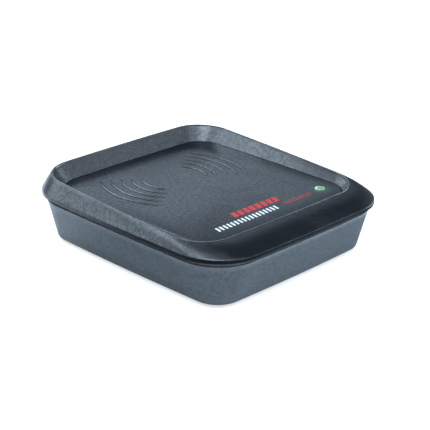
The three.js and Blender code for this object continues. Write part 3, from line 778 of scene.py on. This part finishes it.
def make_tray_panel():
    edge = 0.4 * MM
    rings = [tray_outline(0, -PANEL_GAP, PANEL_LOW.z)]
    for k in range(5):
        angle = math.pi / 2 * k / 4
        inset = PANEL_GAP + edge * (1 - math.cos(angle))
        rings.append(tray_outline(0, -inset, FLOOR_Z - edge * (1 - math.sin(angle))))
    panel = skin("tray_floor_panel", rings)
    arcs = [make_arc(radius, facing) for radius in WAVE_RADII for facing in (0, math.pi)]
    combine(panel, arcs, "UNION")
    chamfer = 0.3 * MM
    r = LIGHT_RADIUS + chamfer
    hole = peg("hole", [(r, PANEL_LOW.z - MM), (r, FLOOR_Z - chamfer), (r + chamfer, FLOOR_Z),
                        (r + chamfer, FLOOR_Z + MM)], LIGHT)
    return smooth(combine(panel, [hole], "DIFFERENCE"))


def tray_material():
    """The floor's plastic, with a dim green glow round the lens painted on as emission; no edge of it is
    worn.
    """
    material, tree, shader = moulded_plastic(
        "tray_floor_plastic", (0.006, 0.0075, 0.0105), edge_wear_and_highlight=(0.03, 0.034, 0.04), gloss=(0.22, 0.30),
        grain_size=0.9, grain_depth=0.05, sheen=0.36, wear_and_highlight_from=ABOVE_ALL)
    # Painted glow: the floor emits a dim green round the lens, where the light pipe would light it.
    away = vector_maths(tree, "DISTANCE", "Value", object_place(tree), (*LIGHT, FLOOR_Z))
    near = ramp(tree, away, LIGHT_RADIUS, LIGHT_RADIUS + GLOW_REACH, 1.0, 0.0, "SMOOTHERSTEP")
    painted_glow = mix_colour(tree, near, (0.0, 0.0, 0.0), (0.008, 0.036, 0.014))
    tree.links.new(painted_glow, shader.inputs["Emission Color"])
    shader.inputs["Emission Strength"].default_value = 1.0
    return material


fit_out(make_tray_panel(), tray_material(), "tray_plastic", "tray_panel")

# ----------------------------------------
# Status light: a clear pale green acrylic light pipe. Its stem stands over the LED on the board,
# a flange stops it under the floor panel, and its polished dome shows in the tray.
PIPE_LOW, PIPE_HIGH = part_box("light_pipe")


def make_light_pipe():
    under = PANEL_LOW.z
    flange_low = under - 1.4 * MM
    dome_foot = FLOOR_Z + 0.2 * MM
    profile = [(0, PIPE_LOW.z), (1.6 * MM, PIPE_LOW.z), (1.8 * MM, PIPE_LOW.z + 0.2 * MM),
               (2.2 * MM, flange_low), (3.5 * MM, flange_low), (3.7 * MM, flange_low + 0.2 * MM),
               (3.7 * MM, under), (LIGHT_RADIUS, under), (LIGHT_RADIUS, dome_foot)]
    for k in range(1, 13):
        angle = math.pi / 2 * k / 12
        height = dome_foot + (PIPE_HIGH.z - dome_foot) * math.sin(angle)
        profile.append((LIGHT_RADIUS * math.cos(angle), height))
    return smooth(turned("status_light_pipe", profile, LIGHT, 64), 50)


def lens_material():
    """Lit acrylic, greener in the middle, with a pale crescent on the far side of the dome painted in as a
    highlight.
    """
    material, tree, shader = new_material("lit_green_acrylic")
    link = tree.links.new
    place = object_place(tree)
    scale = 1 / LIGHT_RADIUS
    plan = vector_maths(tree, "MULTIPLY_ADD", "Vector", place, (scale, scale, 0),
                        (-LIGHT[0] * scale, -LIGHT[1] * scale, 0))
    # The pale crescent is a painted highlight, in both the emission and the base colour.
    outer = ramp(tree, vector_maths(tree, "LENGTH", "Value", plan), 0.52, 0.74, blend="SMOOTHSTEP")
    reach = vector_maths(tree, "DOT_PRODUCT", "Value", plan, (0.707, 0.707, 0))
    painted_highlight = maths(tree, "MULTIPLY", outer, ramp(tree, reach, -0.35, 0.35, blend="SMOOTHSTEP"))
    light = mix_colour(tree, painted_highlight, (0.035, 0.085, 0.048), (0.62, 0.84, 0.70))
    link(light, shader.inputs["Emission Color"])
    shader.inputs["Emission Strength"].default_value = 0.9
    body = mix_colour(tree, painted_highlight, (0.10, 0.20, 0.13), (0.6, 0.8, 0.66))
    link(body, shader.inputs["Base Color"])
    scratches = add_node(tree, "ShaderNodeTexNoise", Scale=900.0, Detail=3.0)
    link(place, scratches.inputs["Vector"])
    link(ramp(tree, scratches.outputs["Fac"], 0.0, 1.0, 0.05, 0.16), shader.inputs["Roughness"])
    shader.inputs["Coat Weight"].default_value = 1.0
    shader.inputs["Coat Roughness"].default_value = 0.04
    return material


fit_out(make_light_pipe(), lens_material(), "lens_green", "light_pipe")

# ----------------------------------------
# Printed marks: pad-printed ink on the tray floor, all plain shapes. A row of white bars near the
# front edge, eight bold red bars behind it, and a short run of fine red ticks towards the light.
INK_LOW = FLOOR_Z - 0.02 * MM
INK_HIGH = FLOOR_Z + 0.04 * MM
THIN_INK = (0.56, 0.74)


def printed_bars(name, bars, lean, material):
    """Flat leaning bars of ink as one piece; each bar is (x, width, front, back) in millimetres."""
    points, faces = [], []
    for x, width, front, back in bars:
        slant = lean * (back - front)
        plan = [(x, front), (x + width, front), (x + width + slant, back), (x + slant, back)]
        first = len(points)
        points += [(px * MM, py * MM, z) for z in (INK_LOW, INK_HIGH) for px, py in plan]
        faces += [(first + 3, first + 2, first + 1, first), (first + 4, first + 5, first + 6, first + 7)]
        faces += [(first + i, first + (i + 1) % 4, first + 4 + (i + 1) % 4, first + 4 + i) for i in range(4)]
    fit_out(solid(name, points, faces), material, "tray_plastic")


def printed_ink(name, colour, thin_colour):
    """Matt ink that lets a little of the floor through where it went on thin."""
    material, tree, shader = new_material(name)
    mottle = add_grain(tree, shader, 0.35, 700.0, 0.2, 0.01)[0].outputs["Mottle"]
    shade = mix_colour(tree, ramp(tree, mottle, *THIN_INK), colour, thin_colour)
    tree.links.new(shade, shader.inputs["Base Color"])
    tree.links.new(ramp(tree, mottle, 0.0, 1.0, 0.45, 0.65), shader.inputs["Roughness"])
    return material


white_ink = printed_ink("white_ink", (0.50, 0.52, 0.55), (0.24, 0.26, 0.29))
red_ink = printed_ink("red_ink", (0.34, 0.012, 0.016), (0.15, 0.012, 0.016))
WHITE_BARS = [(-38.0 + 2.75 * i, 1.25, -46.1, -41.7) for i in range(17)]
RED_BARS = [(-18.8 + 4.5 * i, 3.2, -38.9, -33.4) for i in range(8)]
RED_TICKS = [(14.0 + 1.9 * i, 0.5, -45.0, -42.0) for i in range(12)]
printed_bars("printed_white_bars", WHITE_BARS, 0.2, white_ink)
printed_bars("printed_red_bars", RED_BARS, 0.3, red_ink)
printed_bars("printed_red_ticks", RED_TICKS, 0.2, red_ink)

# ----------------------------------------
# Fixing tape: a ring of pale double-sided paper tape, cut to shape, that bonds the tray floor to
# its ledge. A second ring of the same tape holds the coil.
def plain_finish(name, colour, gloss, grain_size=0.3, depth=0.02, metal=0.0, vary=0.15, cloud=220.0):
    """A small part's finish: colour and gloss that vary in soft clouds, and a fine grain."""
    material, tree, shader = new_material(name)
    grain, bump = add_grain(tree, shader, grain_size, cloud, 0.3, depth)
    mottle = grain.outputs["Mottle"]
    dark = tuple(c * (1 - vary) for c in colour)
    light = tuple(min(1.0, c * (1 + vary)) for c in colour)
    tree.links.new(mix_colour(tree, mottle, dark, light), shader.inputs["Base Color"])
    tree.links.new(ramp(tree, mottle, 0.0, 1.0, *gloss), shader.inputs["Roughness"])
    shader.inputs["Metallic"].default_value = metal
    return material, tree, shader, bump


def finish_nodes(material, *names):
    """Gives carried-over nodes of the model their finish."""
    for name in names:
        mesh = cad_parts[name].data
        mesh.materials.clear()
        mesh.materials.append(material)


paper_tape = plain_finish("paper_tape", (0.62, 0.58, 0.48), (0.65, 0.85), 0.25, 0.03, cloud=900.0)[0]
finish_nodes(paper_tape, "panel_tape", "coil_tape")

# ----------------------------------------
# Coil: enamelled copper wire wound on a black nylon bobbin over a pressed ferrite disc, held by a
# ring of tape, with two leads down to a plug on the board.
COIL_CENTRE = centre_of("coil_winding")
WIRE_RADIUS = 0.25 * MM


def wound_copper():
    """Round turns of wire side by side: ridges at equal steps from the coil's axis."""
    material, tree, _, bump = plain_finish(
        "enamelled_copper", (0.62, 0.26, 0.10), (0.22, 0.34), 0.2, 0.02, metal=1.0)
    plan = vector_maths(tree, "MULTIPLY", "Vector", object_place(tree), (1, 1, 0))
    away = vector_maths(tree, "DISTANCE", "Value", plan, (*COIL_CENTRE, 0))
    turns = maths(tree, "PINGPONG", away, WIRE_RADIUS)
    bump.inputs["Distance"].default_value = 0.2 * MM
    bump.inputs["Strength"].default_value = 0.8
    tree.links.new(maths(tree, "MULTIPLY", turns, 1 / WIRE_RADIUS), bump.inputs["Height"])
    return material


finish_nodes(wound_copper(), "coil_winding")
enamelled_wire = plain_finish("enamelled_wire", (0.55, 0.22, 0.09), (0.24, 0.36), 0.2, 0.01, 1.0)[0]
finish_nodes(enamelled_wire, "coil_lead_a", "coil_lead_b", "radio_antenna")
nylon = plain_finish("black_nylon", (0.014, 0.014, 0.015), (0.4, 0.55), 0.3, 0.02)[0]
finish_nodes(nylon, "coil_former")
pressed_ferrite = plain_finish("pressed_ferrite", (0.045, 0.045, 0.048), (0.6, 0.8), 0.18, 0.03, vary=0.35)[0]
finish_nodes(pressed_ferrite, "ferrite_plate", "power_inductor")
connector_nylon = plain_finish("natural_nylon", (0.78, 0.74, 0.64), (0.38, 0.5), 0.3, 0.01)[0]
finish_nodes(connector_nylon, "coil_connector", "tuning_capacitor")

# ----------------------------------------
# Circuit board: green solder mask over copper tracks on glass-epoxy, screwed to four posts, with
# the chips, crystals, capacitors and the radio's tinned screening can soldered on top.
SOLDER_MASK = (0.012, 0.10, 0.05)
TRACK_WIDTH = 0.22 * MM
TRACK_PITCH = 1.9 * MM
TRACK_LENGTH = 7.3 * MM


def board_material():
    """Tracks show as a paler green grid of lines under the mask; bare pads are tinned dots."""
    material, tree, shader, bump = plain_finish("green_solder_mask", SOLDER_MASK, (0.24, 0.36), 0.3, 0.01)
    link = tree.links.new
    place = object_place(tree)
    tracks = add_node(tree, "ShaderNodeTexBrick", Scale=1.0, Color1=(0, 0, 0, 1), Color2=(0, 0, 0, 1),
                      Mortar=(1, 1, 1, 1))
    tracks.offset = 0.37
    tracks.inputs["Mortar Size"].default_value = TRACK_WIDTH
    tracks.inputs["Brick Width"].default_value = TRACK_LENGTH
    tracks.inputs["Row Height"].default_value = TRACK_PITCH
    link(place, tracks.inputs["Vector"])
    pads = add_node(tree, "ShaderNodeTexVoronoi", Scale=260.0, Randomness=0.8)
    link(place, pads.inputs["Vector"])
    dots = maths(tree, "LESS_THAN", pads.outputs["Distance"], 0.13)
    masked = mix_colour(tree, tracks.outputs["Color"], SOLDER_MASK, (0.03, 0.19, 0.07))
    link(mix_colour(tree, dots, masked, (0.72, 0.70, 0.62)), shader.inputs["Base Color"])
    link(dots, shader.inputs["Metallic"])
    raised = add_node(tree, "ShaderNodeRGBToBW")
    link(tracks.outputs["Color"], raised.inputs[0])
    link(raised.outputs[0], bump.inputs["Height"])
    bump.inputs["Distance"].default_value = 0.05 * MM
    return material


def brushed_metal(name, colour, gloss, scales=(1, 14, 14)):
    """Rolled or drawn metal: fine scratches, longest along the axis with the smallest scale."""
    material, tree, shader, bump = plain_finish(name, colour, gloss, 0.3, 0.01, metal=1.0, vary=0.08)
    stretch = add_node(tree, "ShaderNodeMapping", Scale=scales)
    tree.links.new(object_place(tree), stretch.inputs["Vector"])
    lines = add_node(tree, "ShaderNodeTexNoise", Scale=300.0, Detail=4.0, Roughness=0.7)
    tree.links.new(stretch.outputs["Vector"], lines.inputs["Vector"])
    tree.links.new(ramp(tree, lines.outputs["Fac"], 0.0, 1.0, *gloss), shader.inputs["Roughness"])
    tree.links.new(lines.outputs["Fac"], bump.inputs["Height"])
    return material


finish_nodes(board_material(), "main_board")
moulded_epoxy = plain_finish("moulded_epoxy", (0.017, 0.017, 0.019), (0.42, 0.58), 0.2, 0.015)[0]
finish_nodes(moulded_epoxy, "controller_chip", "coil_driver", "radio_chip", "voltage_regulator",
             "esd_protector")
tinned_steel = brushed_metal("tinned_steel", (0.62, 0.63, 0.64), (0.22, 0.36))
finish_nodes(tinned_steel, "radio_shield", "radio_crystal", "clock_crystal")
drawn_can = brushed_metal("drawn_aluminium_can", (0.55, 0.56, 0.58), (0.28, 0.42), (14, 14, 1))
finish_nodes(drawn_can, "input_capacitor", "supply_capacitor")
fired_ceramic = plain_finish("fired_ceramic", (0.42, 0.30, 0.17), (0.4, 0.55), 0.2, 0.01, vary=0.2)[0]
finish_nodes(fired_ceramic, *[f"ceramic_capacitor_{i}" for i in range(1, 5)])
led_body = plain_finish("white_led_body", (0.72, 0.70, 0.60), (0.35, 0.5), 0.2, 0.01)[0]
finish_nodes(led_body, "status_led")

# ----------------------------------------
# Data socket: a folded, tin-plated steel shell with a rolled mouth, a black tongue and five
# gilt contacts, soldered to the back edge of the board and reached through a slot in the case.
SOCKET_WALL = 0.4 * MM
SOCKET_MIDDLE = (SOCKET_LOW.z + SOCKET_HIGH.z) / 2
CONTACT_PITCH = 0.8 * MM


def lying_slab(name, low, high, radius, edge=0.0):
    """A rounded slab whose rounded corners are seen from the back of the case."""
    slab = rounded_slab(name, (low[0], -high[2], low[1]), (high[0], -low[2], high[1]), radius, 6, edge)
    slab.data.transform(Matrix(((1, 0, 0, 0), (0, 0, 1, 0), (0, -1, 0, 0), (0, 0, 0, 1))))
    return slab


def make_socket_shell():
    low, high = SOCKET_LOW, SOCKET_HIGH
    wall = Vector((SOCKET_WALL, 0, SOCKET_WALL))
    out = Vector((0, MM, 0))
    shell = lying_slab("data_socket", low, high, 0.9 * MM, 0.12 * MM)
    cavity = lying_slab("cavity", low + wall + out * 1.5, high - wall + out, 0.6 * MM)
    mouth_depth = Vector((0, high.y - low.y - 0.25 * MM, 0))
    lead_in = lying_slab("lead_in", low + wall * 0.6 + mouth_depth, high - wall * 0.6 + out, 0.7 * MM)
    return smooth(combine(shell, [cavity, lead_in], "DIFFERENCE"))


def make_socket_contacts():
    points, faces = [], []
    for i in range(5):
        x = (i - 2) * CONTACT_PITCH
        low = (x - 0.2 * MM, SOCKET_LOW.y + 1.4 * MM, SOCKET_MIDDLE)
        high = (x + 0.2 * MM, SOCKET_HIGH.y - 2 * MM, SOCKET_MIDDLE + 0.14 * MM)
        block = lying_slab("contact", low, high, 0.05 * MM)
        first = len(points)
        points += [v.co.copy() for v in block.data.vertices]
        faces += [tuple(first + k for k in face.vertices) for face in block.data.polygons]
        bpy.data.objects.remove(block)
    return solid("socket_contacts", points, faces)


fit_out(make_socket_shell(), tinned_steel, "plated_steel", "usb_socket")
tongue_low = (-2.3 * MM, SOCKET_LOW.y + 1.2 * MM, SOCKET_MIDDLE + 0.1 * MM)
tongue_high = (2.3 * MM, SOCKET_HIGH.y - 1.6 * MM, SOCKET_MIDDLE + 0.9 * MM)
tongue = lying_slab("socket_tongue", tongue_low, tongue_high, 0.2 * MM, 0.08 * MM)
fit_out(smooth(tongue), nylon, "black_plastic")
gilt_contact = brushed_metal("gilt_contact", (0.85, 0.58, 0.24), (0.2, 0.3), (14, 1, 14))
fit_out(make_socket_contacts(), gilt_contact, "copper")

# ----------------------------------------
# Screws: zinc-plated steel pan heads with cross recesses. Four long ones clamp the two halves of
# the case from below, and four short ones hold the board on its posts.
CASE_SCREW_HEAD = 2.7 * MM
CASE_SCREW_SHANK = 1.3 * MM
BOARD_SCREW_HEAD = 2.6 * MM
BOARD_SCREW_SHANK = 1.0 * MM
HEAD_RIM = 0.7 * MM


def cross_recess(centre, bottom, opening, span):
    """Two crossed solids that cut a driver recess, narrower at its bottom than at its opening."""
    thin = span * 0.2
    cutters = []
    for x_half, y_half in ((span, thin), (thin, span)):
        rings = []
        for z, shrink in ((bottom, 0.5), (opening, 1.0)):
            thinned = 0.7 + 0.3 * shrink
            x = x_half * (shrink if x_half > y_half else thinned)
            y = y_half * (thinned if x_half > y_half else shrink)
            rings.append([Vector((centre[0] + sx * x, centre[1] + sy * y, z))
                          for sx, sy in ((-1, -1), (1, -1), (1, 1), (-1, 1))])
        cutters.append(skin("recess", rings))
    return cutters


def thread(radius, start, end, pitch=1.2 * MM, depth=0.25 * MM):
    """A shank profile with one crest for about every pitch along it."""
    turns = int(abs(end - start) / pitch)
    step = (end - start) / turns
    profile = []
    for i in range(turns):
        profile += [(radius - depth, start + step * (i + 0.25)), (radius, start + step * (i + 0.75))]
    return profile


def make_case_screw(index, centre):
    low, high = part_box(f"case_screw_{index}")
    seat = low.z + 2 * MM
    rim = seat - HEAD_RIM
    profile = []
    for angle in (math.radians(a) for a in range(0, 91, 15)):
        profile.append((CASE_SCREW_HEAD * math.sin(angle), rim - 1.3 * MM * math.cos(angle)))
    profile += [(CASE_SCREW_HEAD, seat), (CASE_SCREW_SHANK, seat)]
    profile += thread(CASE_SCREW_SHANK, seat + MM, high.z - MM)
    profile += [(0.2 * MM, high.z), (0, high.z)]
    screw = turned(f"case_screw_{index}_steel", profile, centre, 32)
    combine(screw, cross_recess(centre, rim, low.z - 0.3 * MM, 1.5 * MM), "DIFFERENCE")
    fit_out(smooth(screw), zinc_plate, "screw_steel", f"case_screw_{index}")


def make_board_screw(index, centre):
    low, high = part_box(f"board_screw_{index}")
    seat = high.z - 1.7 * MM
    rim = seat + HEAD_RIM
    profile = [(0, low.z), (0.4 * MM, low.z)]
    profile += thread(BOARD_SCREW_SHANK, low.z + 0.6 * MM, seat - 0.4 * MM, 0.8 * MM)
    profile += [(BOARD_SCREW_SHANK, seat), (BOARD_SCREW_HEAD, seat), (BOARD_SCREW_HEAD, rim)]
    for angle in (math.radians(a) for a in range(15, 91, 15)):
        profile.append((BOARD_SCREW_HEAD * math.cos(angle), rim + MM * math.sin(angle)))
    screw = turned(f"board_screw_{index}_steel", profile, centre, 32)
    combine(screw, cross_recess(centre, rim, high.z + 0.3 * MM, 1.4 * MM), "DIFFERENCE")
    fit_out(smooth(screw), zinc_plate, "screw_steel", f"board_screw_{index}")


zinc_plate = brushed_metal("zinc_plate", (0.50, 0.51, 0.53), (0.24, 0.4), (6, 6, 6))
for number, at in enumerate(CASE_SCREWS, 1):
    make_case_screw(number, at)
for number, at in enumerate(BOARD_SCREWS, 1):
    make_board_screw(number, at)

# ----------------------------------------
# Feet: soft black rubber discs with a rounded edge and a shallow dished sole, stuck into round
# seats in the base.
FOOT_EDGE = 0.9 * MM


def make_foot(index, centre):
    low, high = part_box(f"foot_{index}")
    radius = (high.x - low.x) / 2
    profile = [(0, 0.3 * MM), (radius * 0.45, 0.25 * MM), (radius * 0.62, 0.04 * MM), (radius * 0.7, 0)]
    for k in range(7):
        angle = math.pi / 2 * k / 6
        inset = FOOT_EDGE * (1 - math.sin(angle))
        profile.append((radius - inset, FOOT_EDGE * (1 - math.cos(angle))))
    profile += [(radius, high.z), (0, high.z)]
    foot = smooth(turned(f"rubber_foot_{index}", profile, centre), 40)
    fit_out(foot, foot_rubber, "foot_rubber", f"foot_{index}")


foot_rubber = plain_finish("foot_rubber", (0.018, 0.018, 0.019), (0.7, 0.9), 0.4, 0.05, vary=0.3)[0]
for number, at in enumerate(FEET, 1):
    make_foot(number, at)

# ----------------------------------------
# Rating label: a blank silver-grey polyester film with rounded corners and a thin grey border,
# stuck into a shallow recess in the middle of the base.
LABEL_SILVER = (0.50, 0.51, 0.53)
BORDER_INSET = 1.6 * MM
BORDER_HALF_WIDTH = 0.2 * MM


def label_material():
    material, tree, shader, _ = plain_finish(
        "silver_film", LABEL_SILVER, (0.34, 0.44), 0.25, 0.008, vary=0.05)
    split = add_node(tree, "ShaderNodeSeparateXYZ")
    tree.links.new(object_place(tree), split.inputs[0])
    gaps = []
    for axis, half in (("X", LABEL_HIGH.x), ("Y", LABEL_HIGH.y)):
        gaps.append(maths(tree, "SUBTRACT", half, maths(tree, "ABSOLUTE", split.outputs[axis])))
    border = maths(tree, "COMPARE", maths(tree, "MINIMUM", *gaps), BORDER_INSET, BORDER_HALF_WIDTH)
    tree.links.new(mix_colour(tree, border, LABEL_SILVER, (0.09, 0.09, 0.10)), shader.inputs["Base Color"])
    return material


film = rounded_slab("blank_rating_label", LABEL_LOW, LABEL_HIGH, LABEL_CORNER, 8, 0.04 * MM)
fit_out(smooth(film), label_material(), "label_film", "rating_label")
